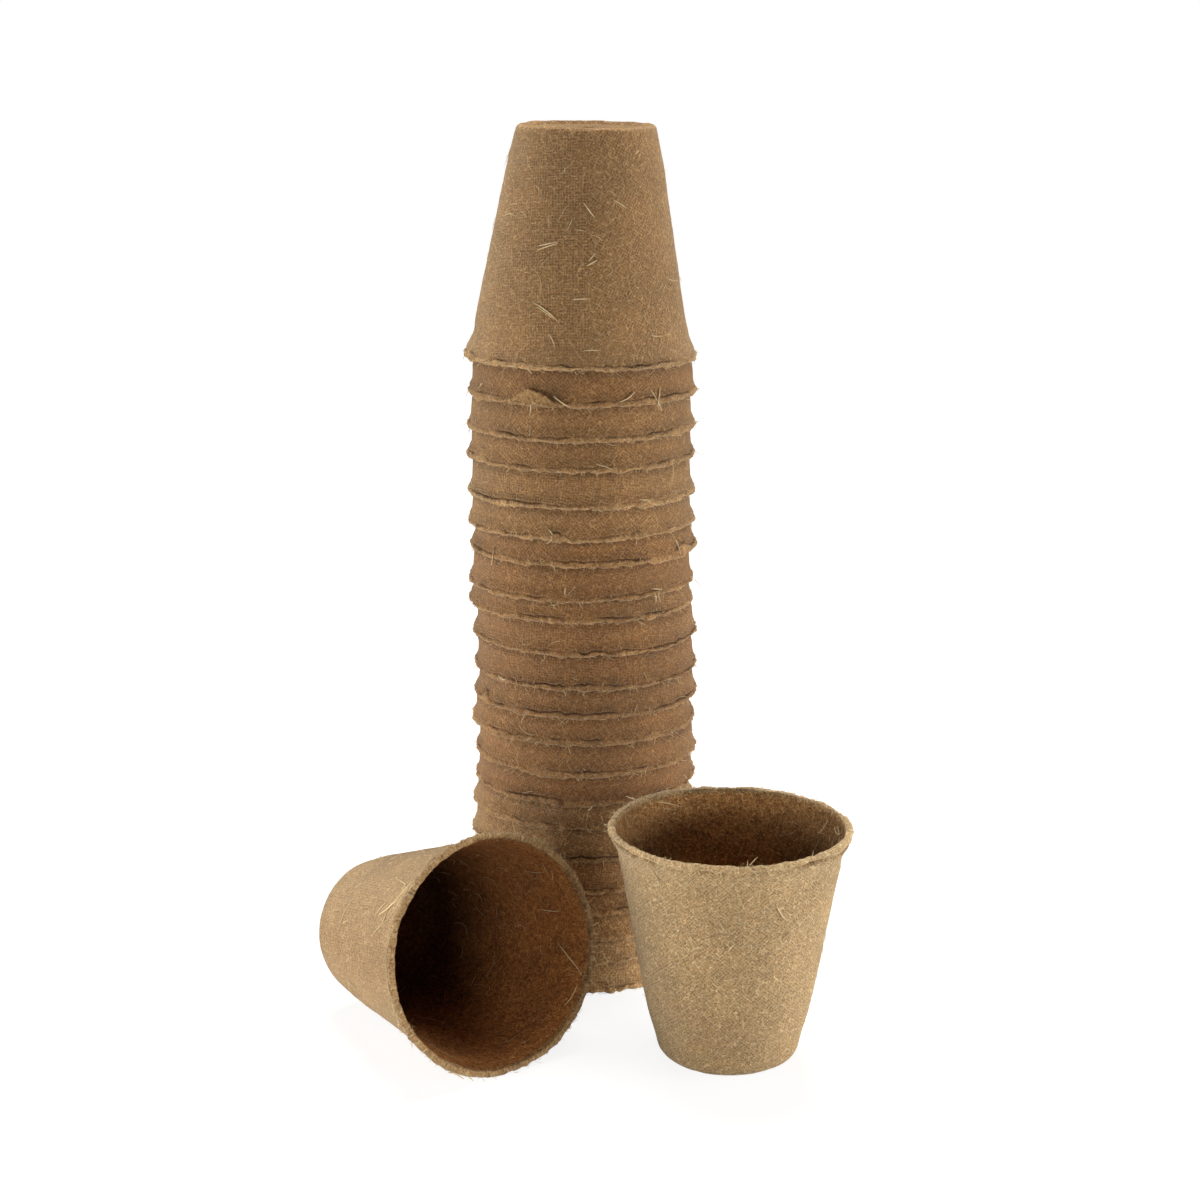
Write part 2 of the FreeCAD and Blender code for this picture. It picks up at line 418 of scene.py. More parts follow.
def sculpt(pot, sizes, look):
    """Give a copied pot its own wall, its ragged lip and the split under it."""
    mesh = pot.data
    points = read_points(mesh) / MM
    part = read_parts(mesh)
    inner = (part == INSIDE) | (part == FLOOR)
    outer = np.where(inner, 0.0, 1.0)
    heading = headings(points, look["flipped"])
    plain_radius = np.hypot(points[:, 0], points[:, 1])
    radius = plain_radius.copy()
    z = points[:, 2].copy()
    top = sizes.height / MM
    seed = look["seed"] * 100
    rag = look["rag"]
    split = look["split"]

    def waves(size, step):
        return wander(heading, size, seed + step)

    thinner = (1 - look["wall_share"]) * sizes.wall / MM * ACROSS
    side = np.where(part == INSIDE, 1.0, 0.0) * smooth(z, 2.9, 6) * (1 - smooth(z, top - 8, top - 3.5))
    radius += thinner * side

    # the height of the split round the pot, how far it gapes, and how the lip
    # above it turns out and frays
    crease = (top - look["lip_height"] + 0.50 * waves(17, 1) + 0.34 * waves(3.1, 2)
              + 0.30 * waves(1.5, 12))
    gape = 0.16 + 1.3 * waves(21, 3) + 0.8 * waves(5, 4)
    flare = 0.45 * waves(19, 5) + 0.30 * waves(3.4, 6)
    drop = 0.42 * waves(15, 7) + 0.42 * waves(3.3, 8) + 0.40 * waves(1.4, 9)
    for centre, width, crease_shift, flare_shift, drop_shift in look["tears"]:
        bump = hump(heading, centre, width)
        crease += crease_shift * bump
        flare += flare_shift * bump
        drop += drop_shift * bump
        gape += bump
    gape = np.clip(gape, 0, 1)

    # the lip's flare and bead, the brow under the split and the split itself
    radius += rag * 0.6 * flare * smooth(z, top - 9, top - 1.5)
    span = np.clip((z - crease) / np.maximum(top - crease, 0.5), 0, 1)
    bead = np.where(z > crease, np.sin(np.pi * (0.12 + 0.88 * span)), 0) * outer
    radius += look["bead"] * bead * (1 + 1.0 * waves(2.4, 10))
    radius += 0.30 * waves(1.4, 11) * smooth(z, crease - 0.2, crease + 0.4) * outer
    radius += 0.16 * (bell(z - crease + 1.0, 0.7) * outer) * gape
    groove = bell(z - crease, 0.24 * split) * outer * (0.15 + 0.85 * gape)
    radius -= 0.80 * split * groove
    if look["pitch"]:
        # the band that shows between two lips bulges over the pot beneath
        under = top - look["pitch"]
        band = 38.3 + 0.5 * np.clip((z - under) / (top - 3.2 - under), 0, 1)
        radius += np.maximum(band - radius, 0) * smooth(z, under - 0.4, under + 0.8) * outer
    tone = look["tone"] * paint(points, z, heading, crease, gape, inner, top, look)
    # painted shade: below the lip the inside is richer and darker in colour
    deep = inner * (1 - smooth(z, top - 2.5, top - 0.3))
    rich = min(look["tone"], 1.0) * look["rich"] * (1 - (1 - look["inner_rich"]) * deep)
    rich += 0.2 * (1 - rich) * smooth(z, crease + 0.2, crease + 0.7) * outer
    if look["foot_rag"]:
        foot = (1 - smooth(z, 0, 4)) * smooth(radius, 14, 20)
        uneven = 0.7 + 0.6 * waves(22, 15) + 0.5 * waves(7, 16)
        z += look["foot_rag"] * foot * uneven
    z += rag * drop * smooth(z, top - 1.9, top - 0.3)
    if look["keep_level"]:
        z = np.minimum(z, top)

    turn = np.where(radius > 0, radius / np.maximum(plain_radius, 1e-9), 1)
    bent = bend(np.stack([points[:, 0] * turn, points[:, 1] * turn, z], axis=1), look, top)
    write_points(mesh, bent * MM)

    # red marks the matted inside, green the lip, blue the open split that the material fills with painted
    # shade, alpha the tone with its painted shade and light
    zones = np.zeros((len(points), 4), np.float32)
    zones[:, 0] = np.where(inner, 1 - smooth(z, top - 0.8, top - 0.1), 0)
    lip = np.where(inner, smooth(z, top - 1.2, top), np.where(z > crease + 0.2, 1, 0))
    zones[:, 1] = smooth(z, 0, 1) * lip
    zones[:, 2] = bell(points[:, 2] - crease, 0.26) * outer * gape
    zones[:, 3] = tone
    mark(mesh, zones, rich)


def mark(mesh, zones, rich):
    """Store what the material reads: the zones and how rich the colour is."""
    layer = mesh.attributes.new(ZONES, "FLOAT_COLOR", "POINT")
    layer.data.foreach_set("color", zones.astype(np.float32).ravel())
    layer = mesh.attributes.new(RICH, "FLOAT", "POINT")
    layer.data.foreach_set("value", rich.astype(np.float32))


def paint(points, z, heading, crease, gape, inner, top, look):
    """How pale the pulp is from place to place: mottled, with painted shade in the folds, under the lip
    above and deep inside, painted shade and light at given spots, and pale on the lip.
    """
    outer = np.where(inner, 0.0, 1.0)
    seed = look["seed"] * 100
    tone = 1 + 0.09 * value_noise(points, 14.0, seed + 13) + 0.07 * value_noise(points, 5.0, seed + 14)
    # painted shade just above the split, deepest where it gapes
    tone *= 1 - 0.24 * (0.25 + 0.75 * gape) * bell(z - crease + 1.0, 1.0) * outer
    frayed = look["lip_tone"] * (1 + 1.3 * value_noise(points, 3.2, seed + 17))
    tone *= 1 + frayed * smooth(z, crease + 0.2, crease + 0.7) * outer
    # painted shade: the inside grows darker towards its bottom
    deep = (1 - outer) * (1 - smooth(z, top - 3, top - 0.3))
    tone *= 1 - look["depth"] * (1 - smooth(z, 4, 52)) * deep
    if look["pitch"]:
        # painted shadow on the band just under the lip of the pot above
        tone *= 1 - 0.24 * bell(z - top + look["pitch"] - 0.8, 1.3) * outer
    # painted shade and painted highlight at given spots outside
    for centre, width, height, spread, amount in look["painted_shading"]:
        tone *= 1 + amount * hump(heading, centre, width) * bell(z - height, spread) * outer
    # painted light and shade on the inside walls, by heading
    for centre, width, amount in look["inner_painted_shading"]:
        tone *= 1 + amount * hump(heading, centre, width) * deep
    return tone


def add_flap(pot, sizes, look):
    """A torn piece of the lip that is folded back over the wall, joined to the pot."""
    start, end, peak, tallest = look["flap"]
    top = sizes.height / MM
    across, up = 40, 9
    rng = np.random.default_rng(look["seed"] + 900)
    share = np.linspace(0, 1, across)
    turn = np.radians(start + (end - start) * share)
    outline = np.interp(share, (0, 0.18, peak, peak + 0.22, 0.92, 1),
                        (0.25, 1.6, tallest, 0.8 * tallest, 1.3, 0.3))
    outline = outline * (1 + rng.uniform(-0.10, 0.10, across))
    front, back = [], []
    for step in range(up):
        rise_share = step / (up - 1)
        height = top - 0.5 - outline * rise_share
        proud = 40.3 - 0.5 * rise_share + 0.7 * rise_share ** 3 * np.sin(np.pi * share)
        proud = proud + 0.25 * rng.uniform(-1, 1, across)
        for row, radius in ((front, proud), (back, np.full(across, 37.6))):
            row.append(np.stack([radius * np.sin(turn), radius * np.cos(turn), height], axis=1))
    grid = np.array([front, back]).reshape(-1, 3)
    half = across * up
    faces = []
    for row in range(up - 1):
        for column in range(across - 1):
            low = row * across + column
            high = low + across
            faces.append((low, low + 1, high + 1, high))
            faces.append((half + high, half + high + 1, half + low + 1, half + low))
    ring = ([*range(across)] + [row * across + across - 1 for row in range(1, up)]
            + [(up - 1) * across + column for column in range(across - 2, -1, -1)]
            + [row * across for row in range(up - 2, 0, -1)])
    for here, after in zip(ring, ring[1:] + ring[:1]):
        faces.append((after, here, half + here, half + after))
    flap = mesh_object(pot.name + "_flap", bend(grid, look, top), faces, "pressed_pulp")
    edge = np.tile(np.repeat(np.linspace(0, 1, up), across), 2)
    tone = look["tone"] * (1.12 + 0.34 * edge ** 2)
    mark(flap.data, np.stack([0 * edge, 0.9 + 0 * edge, 0 * edge, tone], axis=1), np.full(len(edge), 0.80))
    edit(flap)
    bpy.ops.mesh.normals_make_consistent(inside=False)
    bpy.ops.uv.smart_project()
    leave_edit()
    flap.data.uv_layers[0].name = WEAVE
    flap.vertex_groups.new(name="rag").add(list(range(len(edge))), 0.7, "REPLACE")
    join_to(pot, flap)


def join_to(pot, extra):
    deselect_all()
    extra.select_set(True)
    pot.select_set(True)
    bpy.context.view_layer.objects.active = pot
    bpy.ops.object.join()


def lay_weave(pot, sizes, look):
    """Unroll the wall for the mesh imprint: a seam down one side, the rest without a break."""
    mesh = pot.data
    points = read_points(mesh) / MM
    part = read_parts(mesh)
    corner = np.empty(len(mesh.loops), np.int32)
    mesh.loops.foreach_get("vertex_index", corner)
    totals = np.empty(len(mesh.polygons), np.int32)
    mesh.polygons.foreach_get("loop_total", totals)
    face = np.repeat(np.arange(len(totals)), totals)
    seam = math.radians(look["seam"])
    heading = headings(points, look["flipped"])
    along = np.cos(heading - seam)
    aside = np.sin(heading - seam)
    mean_x = np.bincount(face, along[corner]) / totals
    mean_y = np.bincount(face, aside[corner]) / totals
    middle = np.arctan2(mean_y, mean_x) % (2 * math.pi)
    own = np.arctan2(aside, along)[corner]
    turn = middle[face] + (own - middle[face] + math.pi) % (2 * math.pi) - math.pi
    slope = DRAFT / LONG_WALL
    apex = -(KNEE_RADIUS / slope - KNEE_HEIGHT)
    half_angle = math.atan(slope)
    radius = np.hypot(points[:, 0], points[:, 1])
    slant = np.hypot(radius, points[:, 2] - apex)[corner]
    unrolled = -turn * math.sin(half_angle) + math.radians(look["weave"])
    u = slant * np.sin(unrolled)
    v = slant * np.cos(unrolled)
    base = (part == UNDER) & (radius < 20.0)
    level = base | (part == FLOOR) | ((part == INSIDE) & (points[:, 2] < 3.2))
    mostly_level = np.bincount(face, np.where(level, 1, 0)[corner]) / totals > 0.6
    flat = mostly_level[face]
    u = np.where(flat, points[corner, 0], u)
    v = np.where(flat, points[corner, 1], v)
    pitch = sizes.thread_pitch / MM
    layer = mesh.uv_layers.new(name=WEAVE)
    layer.data.foreach_set("uv", (np.stack([u, v], axis=1) / pitch).astype(np.float32).ravel())


def outer_radius(height):
    """The radius of the plain outside at a height, both in millimetres."""
    return np.interp(height, (0, 1.5, 5, 16, 72, 76.5, 80), (19.5, 22.4, 24.6, 27.3, 37.1, 39.2, 40.0))


def inner_radius(height, wall):
    """The radius of the inside at a height, for a wall of the given thickness."""
    return np.interp(height, (2.7, 6, 16, 72, 76.5, 80), (20.5, 24.0, 27.3, 37.1, 39.2, 40.0)) - wall


def tubes(paths, radii):
    """Three-sided tubes along the given paths, tapered to both ends, as one mesh's parts."""
    vertices, faces = [], []
    for path, radius in zip(paths, radii):
        path = np.asarray(path)
        count = len(path)
        tangent = np.gradient(path, axis=0)
        tangent /= np.maximum(np.linalg.norm(tangent, axis=1, keepdims=True), 1e-9)
        guide = np.array([0.0, 0.0, 1.0]) if abs(tangent[0, 2]) < 0.8 else np.array([1.0, 0.0, 0.0])
        side = np.cross(tangent, guide)
        side /= np.maximum(np.linalg.norm(side, axis=1, keepdims=True), 1e-9)
        other = np.cross(tangent, side)
        along = np.linspace(0, 1, count)
        girth = radius * (0.35 + 0.65 * np.sin(np.pi * np.clip(along * 0.9 + 0.05, 0, 1)))
        base = len(vertices)
        for index in range(count):
            for turn in (0, 2 * math.pi / 3, 4 * math.pi / 3):
                vertices.append(path[index] + girth[index] * (math.cos(turn) * side[index]
                                                              + math.sin(turn) * other[index]))
        for index in range(count - 1):
            low = base + 3 * index
            for step in range(3):
                after = (step + 1) % 3
                faces.append((low + step, low + after, low + 3 + after, low + 3 + step))
        faces.append((base + 2, base + 1, base))
        last = base + 3 * (count - 1)
        faces.append((last, last + 1, last + 2))
    return vertices, faces


def surface_strand(spec, flipped, wall=0.0):
    """A strand that lies on the outside (or the inside) of the wall.

    The spec is heading and height of its start, length, direction, curl, and how
    far its two ends lift off, in degrees and millimetres.
    """
    start_heading, start_height, length, direction, curl, lift_start, lift_end = spec
    steps = max(4, min(9, int(length / 1.3) + 3))
    heading, height = math.radians(start_heading), start_height
    way = math.radians(direction)
    path = []
    for index in range(steps):
        share = index / (steps - 1)
        lift = 0.06 + lift_start * (1 - share) ** 2 + lift_end * share ** 2
        if wall:
            radius = inner_radius(height, wall) - lift
        else:
            radius = outer_radius(height) + lift
        y = radius * math.cos(heading)
        path.append((radius * math.sin(heading), y if flipped else -y, height))
        stride = length / (steps - 1)
        heading += stride * math.cos(way) / radius
        height += stride * math.sin(way)
        way += math.radians(curl) / (steps - 1)
    return np.array(path)


def drawn_strand(stops, lift, flipped):
    """A strand through given headings and heights on the outside."""
    stops = np.asarray(stops, float)
    along = np.linspace(0, len(stops) - 1, 3 * len(stops))
    heading = np.radians(np.interp(along, range(len(stops)), stops[:, 0]))
    height = np.interp(along, range(len(stops)), stops[:, 1])
    radius = outer_radius(height) + lift * (0.3 + 0.7 * np.abs(np.sin(1.7 * along)))
    y = radius * np.cos(heading)
    return np.stack([radius * np.sin(heading), y if flipped else -y, height], axis=1)


def rim_strand(rng, heading, flipped, top, length):
    """A short fibre that stands out of the ragged edge of the lip."""
    radius = 38.3 + rng.uniform(0, 1.9)
    height = top - rng.uniform(0.0, 1.6)
    out = np.array([math.sin(heading), math.cos(heading) * (1 if flipped else -1), 0.0])
    tangent = np.array([out[1], -out[0], 0.0])
    way = (out * rng.uniform(0.1, 0.8) + tangent * rng.uniform(-1, 1)
           + np.array([0, 0, rng.uniform(-0.5, 0.9)]))
    way /= np.linalg.norm(way)
    curve = (out * rng.uniform(-0.5, 0.5) + tangent * rng.uniform(-0.7, 0.7)
             + np.array([0, 0, rng.uniform(-0.6, 0.6)]))
    start = out * radius + np.array([0, 0, height])
    path = []
    for share in np.linspace(0, 1, 4):
        path.append(start + way * length * share + curve * length * 0.5 * share ** 2)
    return np.array(path)


def random_strand(rng, heights, kind):
    """The spec of a strand anywhere round the wall, and the share of the plain thickness."""
    spread, curl, start_lifts, end_lifts, girths = kind
    height = rng.uniform(*heights)
    spec = (rng.uniform(-180, 180), height, rng.gamma(2.2, spread) + 1.0, rng.uniform(0, 360),
            rng.normal(0, curl), rng.choice(start_lifts), rng.choice(end_lifts))
    return spec, rng.uniform(*girths)


def add_strands(pot, sizes, look):
    """Loose strands on the wall and fuzz at the lip, joined to the pot."""
    rng = np.random.default_rng(look["seed"] + 5000)
    flipped = look["flipped"]
    top = sizes.height / MM
    thick = sizes.strand_radius / MM
    paths, radii = [], []
    for spec in look["strands"]:
        paths.append(surface_strand(spec[:7], flipped))
        radii.append(1.3 * (spec[7] if len(spec) > 7 else thick * 1.25))
    for girth, lift, stops in look["drawn"]:
        paths.append(drawn_strand(stops, lift, flipped))
        radii.append(girth)
    for spec in look["inner"]:
        paths.append(surface_strand(spec[:7], flipped, INNER_WALL))
        radii.append(spec[7])
    for _ in range(look["wall_strands"]):
        spec, share = random_strand(rng, look["strand_heights"], OUTER_STRANDS)
        paths.append(surface_strand(spec, flipped))
        radii.append(thick * share)
    for _ in range(look["inner_strands"]):
        spec, share = random_strand(rng, (6, 78), INNER_STRANDS)
        paths.append(surface_strand(spec, flipped, INNER_WALL))
        radii.append(thick * share)
    for _ in range(look["rim_fuzz"]):
        heading = rng.uniform(-math.pi, math.pi)
        length = rng.gamma(1.8, 0.6) + 0.6
        paths.append(rim_strand(rng, heading, flipped, top, length))
        radii.append(thick * rng.uniform(0.35, 0.85))
    vertices, faces = tubes([bend(path, look, top) for path in paths], radii)
    join_to(pot, mesh_object(pot.name + "_strands", vertices, faces, "pale_strand"))


def roughen(pot):
    """Lumps of pulp: broad and faint outside, close and deep on the matted inside."""
    displace(pot, "skin", "pulp_broad", 0.011, 1, 0.00055)
    displace(pot, "skin", "pulp_close", 0.0022, 2, 0.00016)
    displace(pot, "matted", "matted_lumps", 0.0034, 3, 0.0007)
    displace(pot, "rag", "torn_edge", 0.0009, 2, 0.00075)


def finish_pot(pot, node, place):
    """Put the shaped pot in its place and tie it to its body."""
    pot.data.transform(place)
    roughen(pot)
    points = read_points(pot.data)
    low, high = CAD_BOX
    for axis in range(3):
        points[:, axis] = np.clip(points[:, axis], low[axis] + CLEAR, high[axis] - CLEAR)
    write_points(pot.data, points)
    pick(pot)
    bpy.ops.object.shade_smooth()
    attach(pot, node)
    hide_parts(node)


def make_pot(mould, node, place, look, sizes):
    """One pot of the set: a copy of its mould with its own look, in its own place."""
    look = {**PLAIN_LOOK, **look}
    pot = copy_pot(mould, "pulp_" + node)
    pot.data.materials.clear()
    pot.data.materials.append(material("pressed_pulp"))
    sculpt(pot, sizes, look)
    lay_weave(pot, sizes, look)
    if look["flap"]:
        add_flap(pot, sizes, look)
    add_strands(pot, sizes, look)
    finish_pot(pot, node, place)


def add_node(tree, kind, links=None, **settings):
    node = tree.nodes.new(kind)
    for name, value in settings.items():
        setattr(node, name, value)
    for key, value in (links or {}).items():
        socket = node.inputs[key]
        if isinstance(value, bpy.types.NodeSocket):
            tree.links.new(value, socket)
        else:
            socket.default_value = value
    return node


def math_node(tree, operation, *values, clamp=False):
    links = dict(enumerate(values))
    return add_node(tree, "ShaderNodeMath", links, operation=operation, use_clamp=clamp).outputs[0]


def vector_node(tree, operation, *values):
    return add_node(tree, "ShaderNodeVectorMath", dict(enumerate(values)), operation=operation).outputs[0]


def times(tree, first, second):
    return math_node(tree, "MULTIPLY", first, second)


def rise(tree, value, low, high, low_out=0.0, high_out=1.0):
    """low_out up to low, high_out from high on, and a smooth change between them."""
    links = {"Value": value, "From Min": low, "From Max": high, "To Min": low_out, "To Max": high_out}
    return add_node(tree, "ShaderNodeMapRange", links, interpolation_type="SMOOTHSTEP").outputs["Result"]


def opaque(colour):
    """A socket as it is, or a colour with its alpha."""
    return colour if isinstance(colour, bpy.types.NodeSocket) else (*colour, 1.0)


def blend_colour(tree, share, first, second, mode="MIX"):
    links = {0: share, 6: opaque(first), 7: opaque(second)}
    return add_node(tree, "ShaderNodeMix", links, data_type="RGBA", blend_type=mode).outputs[2]


def noise_node(tree, vector, scale, detail=2.0, roughness=0.5, distortion=0.0):
    return add_node(tree, "ShaderNodeTexNoise", {
        "Vector": vector, "Scale": scale, "Detail": detail, "Roughness": roughness,
        "Distortion": distortion}).outputs["Fac"]


def material(name):
    found = bpy.data.materials.get(name)
    if found:
        return found
    made = bpy.data.materials.new(name)
    made.use_nodes = True
    tree = made.node_tree
    tree.nodes.clear()
    MATERIALS[name](tree)
    return made


def shade(tree, colour, height, distance, roughness, sheen=None):
    bump = add_node(tree, "ShaderNodeBump", {"Height": height, "Strength": 1.0, "Distance": distance})
    shader = add_node(tree, "ShaderNodeBsdfPrincipled", {
        "Base Color": colour, "Roughness": roughness, "Specular IOR Level": 0.12,
        "Normal": bump.outputs["Normal"]})
    if sheen:
        tree.links.new(sheen, shader.inputs["Sheen Weight"])
        shader.inputs["Sheen Roughness"].default_value = 0.6
        shader.inputs["Sheen Tint"].default_value = (0.95, 1.0, 0.86, 1.0)
    add_node(tree, "ShaderNodeOutputMaterial", {"Surface": shader.outputs["BSDF"]})


def pressed_pulp(tree):
    """Peat and wood pulp pressed against a screen: its imprint, lumps and pale bits, with painted shade in
    its hollows, in the split and on the inside.
    """
    colours = bpy.context.scene.peat_pot_colours
    place = tree.nodes.new("ShaderNodeTexCoord").outputs["Object"]
    unrolled = add_node(tree, "ShaderNodeUVMap", uv_map=WEAVE).outputs["UV"]
    zones = add_node(tree, "ShaderNodeAttribute", attribute_name=ZONES)
    parts = add_node(tree, "ShaderNodeSeparateColor", {"Color": zones.outputs["Color"]})
    inside, lip, crease = parts.outputs[0], parts.outputs[1], parts.outputs[2]
    tone = zones.outputs["Alpha"]
    rich = add_node(tree, "ShaderNodeAttribute", attribute_name=RICH).outputs["Fac"]
    outside = math_node(tree, "SUBTRACT", 1.0, inside)

    # the imprint of the mesh: two sets of waves over the unrolled wall
    warp = add_node(tree, "ShaderNodeTexNoise", {"Vector": unrolled, "Scale": 0.22, "Detail": 2.0})
    shift = vector_node(tree, "SUBTRACT", warp.outputs["Color"], (0.5, 0.5, 0.5))
    shifted = vector_node(tree, "MULTIPLY_ADD", shift, (1.3, 1.3, 0), unrolled)
    axes = add_node(tree, "ShaderNodeSeparateXYZ", {0: shifted})
    across = math_node(tree, "COSINE", times(tree, axes.outputs[0], 2 * math.pi))
    along = math_node(tree, "COSINE", times(tree, axes.outputs[1], 2 * math.pi))
    grid = times(tree, math_node(tree, "ADD", across, along), 0.5)
    patchy = rise(tree, noise_node(tree, place, 130.0, 2.0), 0.34, 0.56, 0.30, 1.0)
    pressed = times(tree, patchy, outside)
    pressed = times(tree, pressed, math_node(tree, "MULTIPLY_ADD", lip, -0.85, 1.0))
    imprint = times(tree, grid, pressed)

    clumps = noise_node(tree, place, 300.0, 3.0, 0.6, 0.5)
    grains = noise_node(tree, place, 1500.0, 4.0, 0.72)
    broad = noise_node(tree, place, 42.0, 3.0, 0.55)
    pale, dark = streaks(tree, unrolled)
    sunk = hairs(tree, unrolled, 0.34, 0.20, 0.50, 3.0)
    hair = math_node(tree, "MAXIMUM", hairs(tree, unrolled, 0.26, 0.26, 0.49, 20.0),
                     hairs(tree, unrolled, 0.42, 0.21, 0.50, 47.0))

    # each layer as its share of the surface and its colour
    shaded = rise(tree, clumps, 0.62, 0.32, 0.0, 0.20)
    shaded = math_node(tree, "MULTIPLY_ADD", inside, rise(tree, clumps, 0.56, 0.40, 0.0, 0.45), shaded)
    # painted shade in the open split
    split = math_node(tree, "MULTIPLY", crease, rise(tree, grains, 0.30, 0.5, 0.6, 1.0), clamp=True)
    layers = (
        (shaded, colours.pit),
        # darker in the imprint's hollows: partly dirt in them, partly painted shade
        (rise(tree, imprint, 0.15, -0.70, 0.0, 0.68), colours.pit),
        (rise(tree, grains, 0.51, 0.37, 0.0, 0.72), colours.pit),
        (rise(tree, grains, 0.51, 0.64, 0.0, 0.60), colours.shive),
        (rise(tree, imprint, 0.20, 0.9, 0.0, 0.44), colours.shive),
        (times(tree, dark, 0.55), colours.pit),
        (times(tree, pale, 0.70), colours.shive),
        (times(tree, sunk, 0.6), colours.pit),
        (times(tree, hair, 0.75), colours.strand),
        (times(tree, lip, rise(tree, grains, 0.42, 0.60, 0.0, 0.35)), colours.shive),
        (split, colours.crease),
    )
    colour = colours.pulp
    for share, layer in layers:
        colour = blend_colour(tree, share, colour, layer)

    # the tone over all of them, darker on the inside as painted shade, with less green and blue where the
    # pulp is rich
    wash = rise(tree, broad, 0.3, 0.7, 0.94, 1.05)
    close = rise(tree, noise_node(tree, place, 1350.0, 1.0), 0.28, 0.72, 0.84, 1.17)
    for level in (close, tone, rise(tree, inside, 0, 1, 1.0, 0.74)):
        wash = times(tree, wash, level)
    tint = add_node(tree, "ShaderNodeCombineColor", {
        0: wash, 1: times(tree, wash, math_node(tree, "POWER", rich, 0.85)),
        2: times(tree, wash, math_node(tree, "POWER", rich, 1.8))}).outputs[0]
    colour = blend_colour(tree, 1.0, colour, tint, "MULTIPLY")

    # the relief, each part with its height
    mat = noise_node(tree, place, 190.0, 4.0, 0.65, 1.4)
    relief = ((clumps, 0.14), (mat, times(tree, inside, 3.2)), (grains, 0.36), (pale, 0.16), (dark, -0.12),
              (hair, 0.13), (sunk, -0.10))
    height = times(tree, imprint, 0.075)
    for value, amount in relief:
        height = math_node(tree, "MULTIPLY_ADD", value, amount, height)
    open_skin = times(tree, outside, math_node(tree, "SUBTRACT", 1.0, crease))
    shade(tree, colour, height, 0.001, 0.93, sheen=math_node(tree, "MULTIPLY_ADD", open_skin, 0.28, 0.02))


def hairs(tree, unrolled, scale, width, share, offset):
    """Thin curled fibres: the borders between cells, broken up by a noise."""
    moved = vector_node(tree, "ADD", unrolled, (offset, 0.7 * offset, 0))
    curl = add_node(tree, "ShaderNodeTexNoise", {"Vector": moved, "Scale": 0.5, "Detail": 1.0})
    warped = vector_node(tree, "MULTIPLY_ADD", curl.outputs["Color"], (2.6, 2.6, 0), moved)
    cells = add_node(tree, "ShaderNodeTexVoronoi", {"Vector": warped, "Scale": scale},
                     voronoi_dimensions="2D", feature="DISTANCE_TO_EDGE")
    near = rise(tree, cells.outputs["Distance"], width * scale, 0.3 * width * scale)
    kept = rise(tree, noise_node(tree, moved, 2.0 * scale, 1.0), share, share + 0.05)
    return times(tree, near, kept)


def streaks(tree, unrolled):
    """Thin pale and dark fibres pressed into the wall, lying several ways."""
    pale = dark = None
    for turn in (12, 57, 98, 149):
        laid = add_node(tree, "ShaderNodeMapping", {
            "Vector": unrolled, "Rotation": (0, 0, math.radians(turn)), "Location": (turn, 0.3 * turn, 0),
            "Scale": (0.38, 2.3, 1.0)}, vector_type="POINT")
        value = noise_node(tree, laid.outputs[0], 1.0, 1.0, 0.5, 0.8)
        one_pale = rise(tree, value, 0.62, 0.76)
        one_dark = rise(tree, value, 0.36, 0.22)
        pale = one_pale if pale is None else math_node(tree, "MAXIMUM", pale, one_pale)
        dark = one_dark if dark is None else math_node(tree, "MAXIMUM", dark, one_dark)
    return pale, dark


def pale_strand(tree):
    """Loose strands of pale wood fibre, a little darker along some of their length."""
    colours = bpy.context.scene.peat_pot_colours
    place = tree.nodes.new("ShaderNodeTexCoord").outputs["Object"]
    stain = noise_node(tree, place, 300.0, 2.0)
    colour = blend_colour(tree, rise(tree, stain, 0.42, 0.70, 0.0, 0.45), colours.strand, colours.pulp)
    shade(tree, colour, stain, 0.0002, 0.8)


def seen_rays(tree):
    """1 for rays that show a surface to the camera, and 0 for those that light others."""
    path = tree.nodes.new("ShaderNodeLightPath")
    seen = math_node(tree, "MAXIMUM", path.outputs["Is Camera Ray"], path.outputs["Is Glossy Ray"])
    return math_node(tree, "MAXIMUM", seen, path.outputs["Is Transmission Ray"])


def white_floor(tree):
    """A white table top that shows as plain white and keeps a faint shadow."""
    seen = seen_rays(tree)
    place = tree.nodes.new("ShaderNodeTexCoord").outputs["Object"]
    away = add_node(tree, "ShaderNodeVectorMath", {0: place}, operation="LENGTH").outputs["Value"]
    edge = rise(tree, away, 0.20, 0.45)
    table = blend_colour(tree, edge, (0.85, 0.84, 0.82), (0.16, 0.16, 0.16))
    paper = add_node(tree, "ShaderNodeBsdfDiffuse", {"Color": table})
    faint = add_node(tree, "ShaderNodeBsdfDiffuse", {"Color": (0.3, 0.3, 0.3, 1)})
    glow = add_node(tree, "ShaderNodeEmission", {
        "Color": (1, 1, 1, 1), "Strength": rise(tree, away, 0.15, 0.40, 0.86, 1.0)})
    shown = add_node(tree, "ShaderNodeAddShader", {0: faint.outputs[0], 1: glow.outputs[0]})
    mixed = add_node(tree, "ShaderNodeMixShader", {0: seen, 1: paper.outputs[0], 2: shown.outputs[0]})
    add_node(tree, "ShaderNodeOutputMaterial", {"Surface": mixed.outputs[0]})


MATERIALS = {"pressed_pulp": pressed_pulp, "pale_strand": pale_strand, "white_floor": white_floor}


